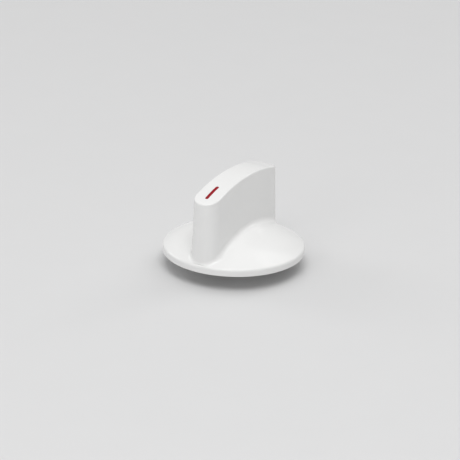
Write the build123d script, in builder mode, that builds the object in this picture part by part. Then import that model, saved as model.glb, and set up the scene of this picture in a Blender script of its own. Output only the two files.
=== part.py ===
# Push-on control knob of a laundry appliance, in millimetres.
# +Z runs up the shaft axis, and the pointer end of the grip faces -Y.
# The origin is the centre of the hub's end face, on which the knob stands.

import os
from math import sqrt

from build123d import *

os.makedirs("parts", exist_ok=True)

# Skirt: the round, shallow-domed base.
skirt_diameter = 50.0
skirt_lift = 6.0  # hub end face up to the skirt's lower edge
rim_height = 2.3  # skirt's lower edge to the dome's edge, before rounding
rim_round = 1.0
dome_rise = 7.5  # dome's edge to its crown

# Grip: the upright blade that crosses the skirt.
grip_foot_width = 11.1  # at the level of the skirt's lower edge
grip_end_setback = 0.5  # rim to the end of the blade, at the same level
grip_height = 28.8  # skirt's lower edge to the highest point of the top
grip_arch_radius = 74.5  # top, seen from the side
grip_draft = 1.6  # lean of each side, in degrees
grip_edge_round = 0.5
grip_foot_blend = 2.0  # concave fillet between blade and dome

# Moulding: walls, ribs and hub.
wall = 2.0
rib_thickness = 1.2
rib_recess = 1.0  # skirt's lower edge up to the edges of the ribs
blade_rib_place = 14.0  # shaft axis to the middle of each rib inside the blade
hub_diameter = 12.0
hub_edge_chamfer = 0.4

# Shaft: the machine's D-shaped shaft and the bush it runs in.
shaft_diameter = 6.0
shaft_flat_height = 1.5  # shaft axis to the flat
shaft_clearance = 0.05
bush_diameter = 8.6
bush_clearance = 0.2
bush_recess_depth = 3.0
socket_depth = 20.0  # hub end face to the inner end of the D-socket
relief_diameter = 3.6  # narrow core hole above the socket

# Clip: the bent spring strip that presses on the shaft's flat.
clip_thickness = 0.4
clip_width = 4.0
clip_inner_leg = 10.0
clip_outer_leg = 7.0
clip_straight = 1.5  # inner leg's straight part, before the bow
clip_bow = 0.35
clip_flat_gap = 0.1  # shaft's flat to the straight part of the strip
clip_side_clearance = 0.1
clip_back_clearance = 0.15
clip_tip_clearance = 0.5
tongue_thickness = 1.4  # plastic that the clip straddles

# Pointer: the paint-filled groove near the front end of the top.
pointer_width = 1.25
pointer_length = 8.3
pointer_inset = 3.95  # blade's end at its foot to the outer end of the line
pointer_groove_depth = 0.5
pointer_paint_recess = 0.06

# Places that follow from the sizes above.
skirt_radius = skirt_diameter / 2
hub_radius = hub_diameter / 2
rim_top = skirt_lift + rim_height
dome_radius = (skirt_radius**2 + dome_rise**2) / (2 * dome_rise)
dome_centre = rim_top + dome_rise - dome_radius
rim_round_reach = skirt_radius - rim_round
rim_round_level = dome_centre + sqrt((dome_radius - rim_round) ** 2 - rim_round_reach**2)
dome_reach = rim_round_reach * dome_radius / (dome_radius - rim_round)
grip_top = skirt_lift + grip_height
grip_end_radius = grip_foot_width / 2
grip_end_centre = skirt_radius - grip_end_setback - grip_end_radius
arch_centre = grip_top - grip_arch_radius
pointer_middle = skirt_radius - grip_end_setback - pointer_inset - pointer_length / 2
socket_radius = shaft_diameter / 2 + shaft_clearance
bush_recess_radius = bush_diameter / 2 + bush_clearance
clip_face = shaft_flat_height + clip_flat_gap
socket_flat = clip_face + clip_thickness
tongue_back = socket_flat + tongue_thickness
clip_back = tongue_back + clip_thickness
clip_seat = bush_recess_depth + clip_thickness

from_below = (Align.CENTER, Align.CENTER, Align.MIN)


def dome_height(radius, distance):
    """Height of a dome about the shared dome centre, at a distance from the axis."""
    return dome_centre + sqrt(radius**2 - distance**2)


def dome_solid(radius, reach, bottom):
    """Round solid from a level bottom up to a dome, out to a given reach from the axis."""
    crown_point = (0, dome_centre + radius)
    arc_point = (reach / 2, dome_height(radius, reach / 2))
    edge_point = (reach, dome_height(radius, reach))
    with BuildPart() as dome:
        with BuildSketch(Plane.XZ):
            with BuildLine():
                Polyline(crown_point, (0, bottom), (reach, bottom), edge_point)
                ThreePointArc(edge_point, arc_point, crown_point)
            make_face()
        revolve(axis=Axis.Z)
    return dome.part


def arched_blade(end_radius, arch_radius):
    """Drafted upright blade with rounded ends and an arched top, straight below the skirt's edge."""
    with BuildPart() as blade:
        with BuildSketch(Plane.XY.offset(skirt_lift)) as outline:
            SlotCenterToCenter(2 * grip_end_centre, 2 * end_radius, rotation=90)
        extrude(amount=grip_height, taper=grip_draft)
        extrude(outline.sketch, amount=-skirt_lift)
        with BuildSketch(Plane.YZ):
            with Locations((0, arch_centre)):
                Circle(arch_radius)
        extrude(amount=grip_foot_width, both=True, mode=Mode.INTERSECT)
    return blade.part


def pointer_form(top_radius, floor_radius):
    """Round-ended bar across the top's front slope, between two arches about the same centre."""
    with BuildPart() as form:
        with BuildSketch(Plane.YZ):
            with Locations((0, arch_centre)):
                Circle(top_radius)
                Circle(floor_radius, mode=Mode.SUBTRACT)
        extrude(amount=pointer_width, both=True)
        with BuildSketch():
            with Locations((0, -pointer_middle)):
                SlotOverall(pointer_length, pointer_width, rotation=90)
        extrude(amount=grip_top + wall, mode=Mode.INTERSECT)
    return form.part


dome_blank = dome_solid(dome_radius, skirt_radius + grip_foot_blend, 0)
dome_core = dome_solid(dome_radius - wall, skirt_radius - wall, 0)
blade_blank = arched_blade(grip_end_radius, grip_arch_radius)
blade_core = arched_blade(grip_end_radius - wall, grip_arch_radius - wall)
groove_floor = grip_arch_radius - pointer_groove_depth
pointer_groove = pointer_form(grip_arch_radius + wall, groove_floor)

# Grip blade, with its top edge rounded.
with BuildPart() as grip:
    add(blade_blank)
    fillet(grip.faces().sort_by(Axis.Z)[-1].edges(), grip_edge_round)

# Hollow of the moulding: everything inside the walls, less the hub and the ribs.
with BuildPart() as hollow:
    add(dome_core)
    add(blade_core)
    Cylinder(hub_radius, grip_top, align=from_below, mode=Mode.SUBTRACT)
    with BuildSketch(Plane.XY.offset(skirt_lift + rib_recess)):
        Rectangle(skirt_diameter, rib_thickness)
    extrude(amount=grip_top, mode=Mode.SUBTRACT)
    with BuildSketch(Plane.XY.offset(dome_height(dome_radius - wall, blade_rib_place))):
        with Locations((0, blade_rib_place), (0, -blade_rib_place)):
            Rectangle(grip_foot_width, rib_thickness)
    extrude(amount=grip_top, mode=Mode.SUBTRACT)

with BuildPart() as knob_body:
    # Blade and dome are blended on a wider blank, so that the blend runs out at the rim.
    add(dome_blank)
    add(grip.part)
    foot_edges = new_edges(dome_blank, grip.part, combined=knob_body.part)
    fillet(foot_edges, grip_foot_blend)
    with Locations((0, 0, skirt_lift)):
        Cylinder(dome_reach, grip_top, align=from_below, mode=Mode.INTERSECT)
    # Rounded rim, which takes over where its arc is tangent to the dome.
    rim_inner_point = (dome_reach, dome_height(dome_radius, dome_reach))
    rim_outer_point = (skirt_radius, rim_round_level)
    with BuildSketch(Plane.XZ):
        with BuildLine():
            Polyline(rim_inner_point, (dome_reach, skirt_lift), (skirt_radius, skirt_lift), rim_outer_point)
            TangentArc(rim_outer_point, rim_inner_point, tangent=(0, 1))
        make_face()
    revolve(axis=Axis.Z)
    # Hollow underside, and the hub that stands out below it.
    add(hollow.part, mode=Mode.SUBTRACT)
    Cylinder(hub_radius, rim_top, align=from_below)
    chamfer(knob_body.faces().sort_by(Axis.Z)[0].edges(), hub_edge_chamfer)
    # Recess for the bush, D-socket and relief hole, one above the other.
    Cylinder(bush_recess_radius, bush_recess_depth, align=from_below, mode=Mode.SUBTRACT)
    with BuildSketch(Plane.XY.offset(bush_recess_depth)):
        Circle(socket_radius)
        with Locations((0, socket_flat)):
            Rectangle(shaft_diameter, shaft_diameter, align=(Align.CENTER, Align.MIN), mode=Mode.SUBTRACT)
    extrude(amount=socket_depth - bush_recess_depth, mode=Mode.SUBTRACT)
    with Locations((0, 0, socket_depth)):
        Cylinder(relief_diameter / 2, grip_top - wall - socket_depth, align=from_below, mode=Mode.SUBTRACT)
    # Slot for the clip's outer leg, and the seat of its bend below the tongue.
    slot_width = clip_width + 2 * clip_side_clearance
    slot_depth = clip_thickness + clip_back_clearance
    with BuildSketch(Plane.XY.offset(bush_recess_depth)):
        with Locations((0, tongue_back)):
            Rectangle(slot_width, slot_depth, align=(Align.CENTER, Align.MIN))
    extrude(amount=clip_outer_leg + clip_tip_clearance, mode=Mode.SUBTRACT)
    with BuildSketch(Plane.XY.offset(bush_recess_depth)):
        with Locations((0, socket_flat)):
            Rectangle(slot_width, tongue_thickness, align=(Align.CENTER, Align.MIN))
    extrude(amount=clip_thickness, mode=Mode.SUBTRACT)
    add(pointer_groove, mode=Mode.SUBTRACT)

# Clip: a U that straddles the tongue, with a bow in the leg that meets the shaft.
with BuildPart() as shaft_clip:
    bow_start = clip_seat + clip_straight
    leg_tip = bush_recess_depth + clip_inner_leg
    bow_middle = (bow_start + leg_tip) / 2
    outer_tip = bush_recess_depth + clip_outer_leg
    with BuildSketch(Plane.YZ) as strip:
        with BuildLine():
            Polyline(
                (clip_face, bow_start),
                (clip_face, bush_recess_depth),
                (clip_back, bush_recess_depth),
                (clip_back, outer_tip),
                (tongue_back, outer_tip),
                (tongue_back, clip_seat),
                (socket_flat, clip_seat),
                (socket_flat, bow_start),
            )
            ThreePointArc(
                (socket_flat, bow_start),
                (socket_flat - clip_bow, bow_middle),
                (socket_flat, leg_tip),
            )
            Line((socket_flat, leg_tip), (clip_face, leg_tip))
            ThreePointArc(
                (clip_face, leg_tip),
                (clip_face - clip_bow, bow_middle),
                (clip_face, bow_start),
            )
        make_face()
        fillet(strip.vertices().group_by(Axis.Y)[0], clip_thickness)
    extrude(amount=clip_width / 2, both=True)

# Pointer: paint that fills the groove, a little below the top.
with BuildPart() as pointer_line:
    add(pointer_form(grip_arch_radius - pointer_paint_recess, groove_floor))

knob_body.part.label = "knob_body"
export_step(knob_body.part, "parts/knob_body.step")
shaft_clip.part.label = "shaft_clip"
export_step(shaft_clip.part, "parts/shaft_clip.step")
pointer_line.part.label = "pointer_line"
export_step(pointer_line.part, "parts/pointer_line.step")
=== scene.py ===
# %% [markdown]
# # A push-on knob from a laundry appliance
# The knob is one white plastic moulding: a round, shallow-domed skirt, crossed by a tall grip blade.
# A groove near the front end of the blade is filled with red paint, and a spring clip sits inside the hub.
# The measured moulding comes in first. It could be modelled again by hand, but its shape is already right,
# so it stays as it is and only gets its finish. The paint and the clip are remade with the softer forms
# they have in real life, and a camera, a floor and lights are set up round the knob.

# %% Load the measured model
from math import asin, cos, radians, sin, sqrt

import bmesh
import bpy
from mathutils import Matrix, Vector


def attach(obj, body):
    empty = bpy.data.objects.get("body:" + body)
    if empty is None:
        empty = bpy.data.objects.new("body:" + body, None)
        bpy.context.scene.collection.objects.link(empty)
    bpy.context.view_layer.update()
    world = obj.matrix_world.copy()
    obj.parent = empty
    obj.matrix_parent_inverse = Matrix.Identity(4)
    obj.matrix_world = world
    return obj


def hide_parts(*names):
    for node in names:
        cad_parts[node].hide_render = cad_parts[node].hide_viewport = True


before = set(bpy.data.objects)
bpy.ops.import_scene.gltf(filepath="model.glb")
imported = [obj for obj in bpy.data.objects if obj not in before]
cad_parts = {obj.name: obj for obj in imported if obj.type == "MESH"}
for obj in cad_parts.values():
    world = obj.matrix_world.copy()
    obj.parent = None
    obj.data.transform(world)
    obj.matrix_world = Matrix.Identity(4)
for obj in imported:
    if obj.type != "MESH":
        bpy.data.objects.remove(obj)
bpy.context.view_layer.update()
mm = 0.001
bpy.context.scene.view_settings.view_transform = "Standard"
print("nodes:", sorted(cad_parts))

# %% [markdown]
# ## Viewing directions
# The photograph looks down on the knob by about 22 degrees, from about 29 degrees to the right of the
# pointer, and it is rolled a little. A camera can be turned by hand, or made to track an object.
# Here its three directions are worked out from those angles, because the roll is then only one more turn.

# %% Viewing directions
camera_turn = radians(29.074)
camera_height = radians(21.939)
camera_roll = radians(1.486)

across = Vector((cos(camera_turn), sin(camera_turn), 0))
back = Vector((
    sin(camera_turn) * cos(camera_height),
    -cos(camera_turn) * cos(camera_height),
    sin(camera_height),
))
upward = back.cross(across)
rolled_across = across * cos(camera_roll) + upward * sin(camera_roll)
rolled_upward = upward * cos(camera_roll) - across * sin(camera_roll)
print("camera looks along", [round(value, 3) for value in -back])

# %% [markdown]
# ## Camera
# The sides of the blade hardly converge in the photograph, so the camera stands far off with a long lens.
# A short lens close by could show the knob as large, but the front of the blade would look too big.
# The camera aims at the middle of the skirt's lower edge, shifted to where the photograph has it.

# %% Camera
skirt_lift = 6.0 * mm
aim_across = -1.268 * mm
aim_up = 6.871 * mm
camera_distance = 1.25
camera_lens = 277.5
camera_sensor = 36
view_depth = 20

aim = Vector((0, 0, skirt_lift)) + rolled_across * aim_across + rolled_upward * aim_up
bpy.ops.object.select_all(action="DESELECT")
bpy.ops.object.camera_add()
camera = bpy.context.object
camera.name = "photo_camera"
camera.data.sensor_width = camera_sensor
camera.data.lens = camera_lens
camera.data.clip_end = view_depth
turned = Matrix((rolled_across, rolled_upward, back)).transposed().to_4x4()
camera.matrix_world = Matrix.Translation(aim + back * camera_distance) @ turned
bpy.context.scene.camera = camera
print("camera stands at", [round(value, 3) for value in camera.location])

# %% [markdown]
# ## Floor paper
# The knob stands on a sheet of pale paper. No real surface has one flat colour, and paper is faintly cloudy.
# The clouds could be painted on an image, but that needs an unwrapped surface.
# Noise on object coordinates needs none and has no seams, so every finish here is built from it,
# with a few short helpers that are written where they are first needed.

# %% Paper finish
def principled(name):
    """A new node material, with its node tree and its shader."""
    material = bpy.data.materials.new(name)
    material.use_nodes = True
    tree = material.node_tree
    return material, tree, tree.nodes["Principled BSDF"]


def noise(tree, scale, detail=3.0):
    """Noise on object coordinates, with scale in waves per metre."""
    place = tree.nodes.new("ShaderNodeTexCoord")
    pattern = tree.nodes.new("ShaderNodeTexNoise")
    pattern.inputs["Scale"].default_value = scale
    pattern.inputs["Detail"].default_value = detail
    tree.links.new(place.outputs["Object"], pattern.inputs["Vector"])
    return pattern.outputs["Fac"]


def tint(tree, value, dark, light):
    """Mixes two colours by a noise value."""
    node = tree.nodes.new("ShaderNodeMix")
    node.data_type = "RGBA"
    # The node has sockets of the same name for every kind of value, so the colours go by number.
    node.inputs[6].default_value = dark
    node.inputs[7].default_value = light
    tree.links.new(value, node.inputs[0])
    return node.outputs[2]


paper_clouds = 60
paper_shades = ((0.690, 0.690, 0.692, 1), (0.702, 0.702, 0.704, 1))
paper_roughness = 0.9
paper_shine = 0.1

floor_paper, tree, shader = principled("floor_paper")
shade = tint(tree, noise(tree, paper_clouds), *paper_shades)
tree.links.new(shade, shader.inputs["Base Color"])
shader.inputs["Roughness"].default_value = paper_roughness
shader.inputs["Specular IOR Level"].default_value = paper_shine
print("floor_paper has", len(tree.nodes), "nodes")

# %% [markdown]
# ## Floor sheet
# The sheet also makes the pale background of the picture, so its colour sets the background's tone.
# A curved backdrop would do the same, but the camera looks down and never sees where a flat sheet ends,
# so one large plane is enough.

# %% Floor sheet
floor_size = 12.0

bpy.ops.object.select_all(action="DESELECT")
bpy.ops.mesh.primitive_plane_add(size=floor_size)
floor = bpy.context.object
floor.name = "floor_sheet"
floor.data.materials.append(floor_paper)
print("floor is", floor_size, "m wide")

# %% [markdown]
# ## Soft lights
# Small white products are often photographed in a tent of white cloth that is lit from outside.
# One bare lamp would give a hard shadow, so the cloths are area lights, set on a sphere round the knob.
# The strongest hangs high on the camera's side, and a wide one overhead keeps the shadow under the skirt.
# Weaker ones to the left, behind and low in front lift the upright faces and the blend at the blade's foot.

# %% Soft lights
tent_radius = 1.5


def soft_light(name, turn, height, size, power):
    """A square cloth light on the tent, facing the knob, with its turn from +Y towards +X in degrees."""
    place = tent_radius * Vector((
        sin(radians(turn)) * cos(radians(height)),
        cos(radians(turn)) * cos(radians(height)),
        sin(radians(height)),
    ))
    bpy.ops.object.light_add(type="AREA", location=place)
    light = bpy.context.object
    light.name = name
    light.data.shape = "SQUARE"
    light.data.size = size
    light.data.energy = power
    light.rotation_euler = place.to_track_quat("Z", "Y").to_euler()
    light.visible_camera = False


soft_light("front_cloth", turn=151, height=62, size=0.8, power=9.0)
soft_light("top_cloth", turn=0, height=90, size=1.7, power=6.0)
soft_light("back_cloth", turn=31, height=50, size=0.8, power=1.9)
soft_light("left_cloth", turn=268, height=28, size=0.6, power=2.5)
soft_light("low_front_cloth", turn=181, height=22, size=0.55, power=2.1)
soft_light("low_back_cloth", turn=20, height=28, size=0.3, power=0.8)

# %% [markdown]
# ## Glow of the tent
# The cloth between the lights glows as well, and fills the shadow. More lamps could do this,
# but the world's background reaches the knob from every side at once.
# The glossy plastic also mirrors the tent. Its glow is stronger in reflections than as light,
# because one strength for both would make either the shadow too pale or the reflections too dark.

# %% Glow of the tent
glow_as_light = 0.36
glow_in_gloss = 0.65

tent = bpy.data.worlds.new("light_tent")
tent.use_nodes = True
tent_nodes = tent.node_tree.nodes
tent_rays = tent_nodes.new("ShaderNodeLightPath")
tent_glow = tent_nodes.new("ShaderNodeMapRange")
tent_glow.inputs["To Min"].default_value = glow_as_light
tent_glow.inputs["To Max"].default_value = glow_in_gloss
tent.node_tree.links.new(tent_rays.outputs["Is Glossy Ray"], tent_glow.inputs["Value"])
tent.node_tree.links.new(tent_glow.outputs["Result"], tent_nodes["Background"].inputs["Strength"])
tent_nodes["Background"].inputs["Color"].default_value = (1, 1, 1, 1)
bpy.context.scene.world = tent
print("tent glows at", glow_as_light, "as light and at", glow_in_gloss, "in reflections")

# %% [markdown]
# ## White plastic
# The knob is moulded in white, slightly glossy plastic, and its gloss is a little uneven.
# The finish could have one colour and one gloss all over, but then every reflection would have the same edge,
# as on no real moulding. So both follow noise, within a narrow range.

# %% White plastic, colour and gloss
usual_noise = (0.3, 0.7)  # the range that most noise values lie in


def spread(tree, value, low, high):
    """Spreads a noise value over a range."""
    node = tree.nodes.new("ShaderNodeMapRange")
    node.inputs["From Min"].default_value = usual_noise[0]
    node.inputs["From Max"].default_value = usual_noise[1]
    node.inputs["To Min"].default_value = low
    node.inputs["To Max"].default_value = high
    tree.links.new(value, node.inputs["Value"])
    return node.outputs["Result"]


plastic_clouds = 90
plastic_shades = ((0.825, 0.825, 0.818, 1), (0.845, 0.845, 0.838, 1))
gloss_patches = 350
gloss_range = (0.14, 0.19)

white_plastic, tree, shader = principled("white_plastic_gloss")
shade = tint(tree, noise(tree, plastic_clouds), *plastic_shades)
tree.links.new(shade, shader.inputs["Base Color"])
gloss = spread(tree, noise(tree, gloss_patches), *gloss_range)
tree.links.new(gloss, shader.inputs["Roughness"])
print("plastic has a roughness from", gloss_range[0], "to", gloss_range[1])

# %% [markdown]
# ## Faint ripple
# The steel of the mould is polished by hand, so the skin of the plastic has a very faint ripple.
# It could be modelled, but it is only about a hundredth of a millimetre deep, so a bump is enough.
# The finish then goes into the moulding's own material slot, and its mesh is left alone.

# %% White plastic, faint ripple
def bump(tree, shader, value, depth, strength):
    """Bumps the surface by a noise value."""
    node = tree.nodes.new("ShaderNodeBump")
    node.inputs["Distance"].default_value = depth
    node.inputs["Strength"].default_value = strength
    tree.links.new(value, node.inputs["Height"])
    tree.links.new(node.outputs["Normal"], shader.inputs["Normal"])


ripple_waves = 150
ripple_detail = 4.0
ripple_depth = 0.01 * mm
ripple_strength = 0.3

bump(tree, shader, noise(tree, ripple_waves, ripple_detail), ripple_depth, ripple_strength)
knob_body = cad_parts["knob_body"]
knob_body.material_slots[0].material = white_plastic
print("knob_body now has", knob_body.material_slots[0].material.name)

# %% [markdown]
# ## Red pointer line
# The pointer is paint, wiped into a groove that is moulded into the top of the blade.
# It could be cut out of a copy of the blade, but a sheet built up from its outline has cleaner faces.
# The sheet starts as a flat disc above the blade. Its front half is drawn forward,
# which makes a long outline with round ends.

# %% Paint outline
paint_width = 1.24 * mm
paint_near_end = 12.255 * mm
paint_far_end = 20.545 * mm
near_centre = -paint_near_end - paint_width / 2
far_centre = -paint_far_end + paint_width / 2
outline_points = 48
sheet_level = 36 * mm


def open_mesh(name):
    """Names the primitive just added, applies its place, and opens it for editing."""
    piece = bpy.context.object
    piece.name = name
    bpy.ops.object.transform_apply(location=True, rotation=True, scale=True)
    bpy.ops.object.mode_set(mode="EDIT")
    bpy.ops.mesh.select_mode(type="VERT")
    return piece


def pick(piece, test):
    """Selects the vertices whose places pass a test, with the edges and faces between them."""
    bpy.ops.mesh.select_all(action="DESELECT")
    mesh = bmesh.from_edit_mesh(piece.data)
    for vertex in mesh.verts:
        vertex.select = test(vertex.co)
    mesh.select_flush(True)
    bmesh.update_edit_mesh(piece.data)
    return sum(vertex.select for vertex in mesh.verts)


bpy.ops.object.select_all(action="DESELECT")
bpy.ops.mesh.primitive_circle_add(
    vertices=outline_points,
    radius=paint_width / 2,
    fill_type="NGON",
    location=(0, near_centre, sheet_level),
    # Half a step of turn, so that no point lies on the line between the halves.
    rotation=(0, 0, radians(180 / outline_points)),
)
paint = open_mesh("pointer_paint")
drawn = pick(paint, lambda place: place.y < near_centre)
bpy.ops.transform.translate(value=(0, far_centre - near_centre, 0))
print("drew", drawn, "of", outline_points, "points forward")

# %% [markdown]
# ## Rows and rings
# The paint follows the arched top of the blade, and a sheet of one face can't follow a curve.
# Subdividing would cut it both ways. Bisecting it by a row of planes cuts it across its length only.
# Two insets then add rings inside the outline, for the raised edge that the paint has when it is dry.

# %% Paint rows and edge rings
paint_rows = 14
edge_rings = (0.10 * mm, 0.18 * mm)

for row in range(paint_rows + 1):
    cut = near_centre + (far_centre - near_centre) * row / paint_rows
    bpy.ops.mesh.select_all(action="SELECT")
    bpy.ops.mesh.bisect(plane_co=(0, cut, sheet_level), plane_no=(0, 1, 0))

bpy.ops.mesh.select_all(action="SELECT")
for edge_ring in edge_rings:
    bpy.ops.mesh.inset(thickness=edge_ring, depth=0)
bpy.ops.object.mode_set(mode="OBJECT")
print("paint sheet has", len(paint.data.polygons), "faces")

# %% [markdown]
# ## Paint over the arch
# The blade's top is part of a large cylinder, and the paint follows it a little below the surface.
# Each row could be moved to its height by a formula. It is simpler to project the flat sheet down onto
# a cylinder of the right radius with a Shrinkwrap modifier, which puts every point on the curve at once.
# The cylinder is only a former, so it is removed when the modifier has been applied.

# %% Paint laid over the arch
arch_radius = 74.5 * mm
arch_centre = -39.7 * mm
paint_recess = 0.06 * mm
paint_arch = arch_radius - paint_recess
former_points = 1024

bpy.ops.object.select_all(action="DESELECT")
bpy.ops.mesh.primitive_cylinder_add(
    vertices=former_points,
    radius=paint_arch,
    depth=2 * paint_width,
    location=(0, 0, arch_centre),
    rotation=(0, radians(90), 0),
)
arch_former = bpy.context.object

bpy.ops.object.select_all(action="DESELECT")
paint.select_set(True)
bpy.context.view_layer.objects.active = paint
laid = paint.modifiers.new("laid", "SHRINKWRAP")
laid.target = arch_former
laid.wrap_method = "PROJECT"
laid.use_project_z = True
laid.use_negative_direction = True
laid.use_positive_direction = False
bpy.ops.object.modifier_apply(modifier=laid.name)
bpy.data.objects.remove(arch_former)
paint_levels = [vertex.co.z / mm for vertex in paint.data.vertices]
print("paint lies from", round(min(paint_levels), 3), "to", round(max(paint_levels), 3), "mm up")

# %% [markdown]
# ## Thickness and raised edge
# As paint dries it shrinks in the middle and clings to the walls of its groove, so its skin is a trough.
# The sheet is extruded down to just above the groove's floor, which gives the paint its thickness.
# The two outer rings of its skin are then raised by a few hundredths of a millimetre.
# A bump in the material could only hint at this edge, so it is made as geometry. As geometry it is also
# in the exported mesh.

# %% Paint thickness and raised edge
paint_depth = 0.43 * mm
# For each rise: how far from the middle it starts, and how high it is.
edge_rises = ((0.58 * mm, 0.03 * mm), (0.48 * mm, 0.02 * mm))
crease_angle = radians(40)


def arch_level(place):
    """Height of the paint's arch above the floor, at a place on it."""
    return arch_centre + sqrt(paint_arch**2 - place.y**2)


def from_middle(place):
    """Distance from the line's straight middle, seen from above."""
    nearest = max(min(place.y, near_centre), far_centre)
    return sqrt(place.x**2 + (place.y - nearest) ** 2)


def on_skin(place):
    """Whether a place is on the paint's upper side."""
    return place.z > arch_level(place) - paint_depth / 2


bpy.ops.object.mode_set(mode="EDIT")
bpy.ops.mesh.select_all(action="SELECT")
bpy.ops.mesh.extrude_region_move(TRANSFORM_OT_translate={"value": (0, 0, -paint_depth)})
bpy.ops.mesh.select_all(action="SELECT")
bpy.ops.mesh.normals_make_consistent(inside=False)

for distance, rise in edge_rises:
    raised = pick(paint, lambda place: on_skin(place) and from_middle(place) > distance)
    bpy.ops.transform.translate(value=(0, 0, rise))
    print("raised", raised, "points by", round(rise / mm, 2), "mm")
bpy.ops.object.mode_set(mode="OBJECT")
bpy.ops.object.shade_smooth_by_angle(angle=crease_angle)

# %% [markdown]
# ## Red paint
# The paint is a dark red with a coarse pigment, and it dries nearly matt.
# One flat red would look printed on, so its colour and gloss vary at the scale of the pigment.
# Its reflections are kept weak, because strong ones would wash out such a thin line.

# %% Red paint finish
pigment_grains = 1500
paint_shades = ((0.25, 0.008, 0.014, 1), (0.34, 0.014, 0.024, 1))
matt_patches = 3000
matt_range = (0.55, 0.7)
paint_shine = 0.15
paint_ripples = 900
paint_ripple_depth = 0.01 * mm
paint_ripple_strength = 0.4

red_paint, tree, shader = principled("red_pointer_paint")
shade = tint(tree, noise(tree, pigment_grains), *paint_shades)
tree.links.new(shade, shader.inputs["Base Color"])
tree.links.new(spread(tree, noise(tree, matt_patches), *matt_range), shader.inputs["Roughness"])
shader.inputs["Specular IOR Level"].default_value = paint_shine
bump(tree, shader, noise(tree, paint_ripples), paint_ripple_depth, paint_ripple_strength)

paint.data.materials.append(red_paint)
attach(paint, "root")
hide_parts("pointer_line")
print("pointer paint:", [round(side / mm, 2) for side in paint.dimensions], "mm")

# %% [markdown]
# ## Spring clip
# The clip is a strip of spring steel, bent into a U that straddles a tongue of plastic inside the hub.
# Its outline could be drawn and extruded sideways. Here it is bent the way the strip is bent,
# which keeps its thickness even: it starts as the straight outer leg, and its lower end
# is then turned and drawn on, one bend after the other.

# %% Clip strip and bends
clip_width = 4.0 * mm
clip_thickness = 0.4 * mm
clip_face = 1.6 * mm
clip_back = 3.8 * mm
clip_base = 3.0 * mm
outer_leg_tip = 10.0 * mm
inner_leg_straight = 1.5 * mm
clip_seat = clip_base + clip_thickness
tongue_back = clip_back - clip_thickness
tongue_front = clip_face + clip_thickness
right_angle = radians(90)
bend_steps = 8
touch = 0.001 * mm

bpy.ops.object.select_all(action="DESELECT")
bpy.ops.mesh.primitive_cube_add(
    size=1,
    location=(0, clip_back - clip_thickness / 2, (clip_seat + outer_leg_tip) / 2),
    scale=(clip_width, clip_thickness, outer_leg_tip - clip_seat),
)
clip = open_mesh("spring_clip")


def bend(centre_y, centre_z, angle, steps):
    """Turns the selected end face about an axis across the strip."""
    bpy.ops.mesh.spin(steps=steps, angle=angle, center=(0, centre_y, centre_z), axis=(1, 0, 0))


def draw_on(move_y, move_z):
    """Draws the selected end face on in a straight line."""
    bpy.ops.mesh.extrude_region_move(TRANSFORM_OT_translate={"value": (0, move_y, move_z)})


pick(clip, lambda place: place.z < clip_seat + touch)
bend(tongue_back, clip_seat, right_angle, bend_steps)
draw_on(tongue_front - tongue_back, 0)
bend(tongue_front, clip_seat, right_angle, bend_steps)
draw_on(0, inner_leg_straight)
print("strip has", len(bmesh.from_edit_mesh(clip.data).faces), "faces after its two bends")

# %% [markdown]
# ## Bow
# The inner leg of the clip is bowed, and the bow presses on the flat of the shaft.
# The leg could be subdivided and pushed out in its middle. One more spin, about an axis far outside
# the strip, gives the bow a true radius instead, and it keeps the strip's thickness.

# %% Clip bow
bow_length = 8.1 * mm
bow_depth = 0.35 * mm
bow_radius = (bow_length**2 / 4 + bow_depth**2) / (2 * bow_depth)
bow_angle = 2 * asin(bow_length / 2 / bow_radius)
bow_steps = 16
strip_middle = clip_face + clip_thickness / 2
bow_middle = clip_seat + inner_leg_straight + bow_length / 2

bend(strip_middle - bow_depth + bow_radius, bow_middle, bow_angle, bow_steps)
bpy.ops.mesh.select_all(action="SELECT")
bpy.ops.mesh.remove_doubles(threshold=touch)
bpy.ops.mesh.normals_make_consistent(inside=False)
bpy.ops.object.mode_set(mode="OBJECT")
print("bow has a radius of", round(bow_radius / mm, 2), "mm")

# %% [markdown]
# ## Cut edges
# A strip that is cut from a coil has slightly rounded edges, which catch a line of light.
# They could be bevelled one by one in edit mode. A Bevel modifier that is limited by angle finds them all.

# %% Clip cut edges
cut_edge_round = 0.05 * mm
cut_edge_steps = 2

cut_edges = clip.modifiers.new("cut_edges", "BEVEL")
cut_edges.width = cut_edge_round
cut_edges.segments = cut_edge_steps
cut_edges.limit_method = "ANGLE"
cut_edges.angle_limit = crease_angle
bpy.ops.object.modifier_apply(modifier=cut_edges.name)
bpy.ops.object.shade_smooth_by_angle(angle=crease_angle)
print("clip:", [round(side / mm, 2) for side in clip.dimensions], "mm,", len(clip.data.polygons), "faces")

# %% [markdown]
# ## Spring steel
# Spring strip is rolled and hardened, and comes out grey and half bright.
# A metal shows little but its reflections, so the shader is fully metallic and the tint is theirs.
# Fine noise in tint, gloss and bump stands for the marks of the rolls, which are far too small to model.

# %% Spring steel finish
steel_clouds = 900
steel_shades = ((0.42, 0.43, 0.45, 1), (0.55, 0.56, 0.58, 1))
roll_marks = 4000
roll_range = (0.25, 0.4)
steel_ripples = 1200
steel_ripple_depth = 0.004 * mm
steel_ripple_strength = 0.3

spring_steel, tree, shader = principled("rolled_spring_steel")
shader.inputs["Metallic"].default_value = 1.0
shade = tint(tree, noise(tree, steel_clouds), *steel_shades)
tree.links.new(shade, shader.inputs["Base Color"])
tree.links.new(spread(tree, noise(tree, roll_marks), *roll_range), shader.inputs["Roughness"])
bump(tree, shader, noise(tree, steel_ripples), steel_ripple_depth, steel_ripple_strength)

clip.data.materials.append(spring_steel)
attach(clip, "root")
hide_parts("shaft_clip")
print("spring_clip takes the place of shaft_clip")
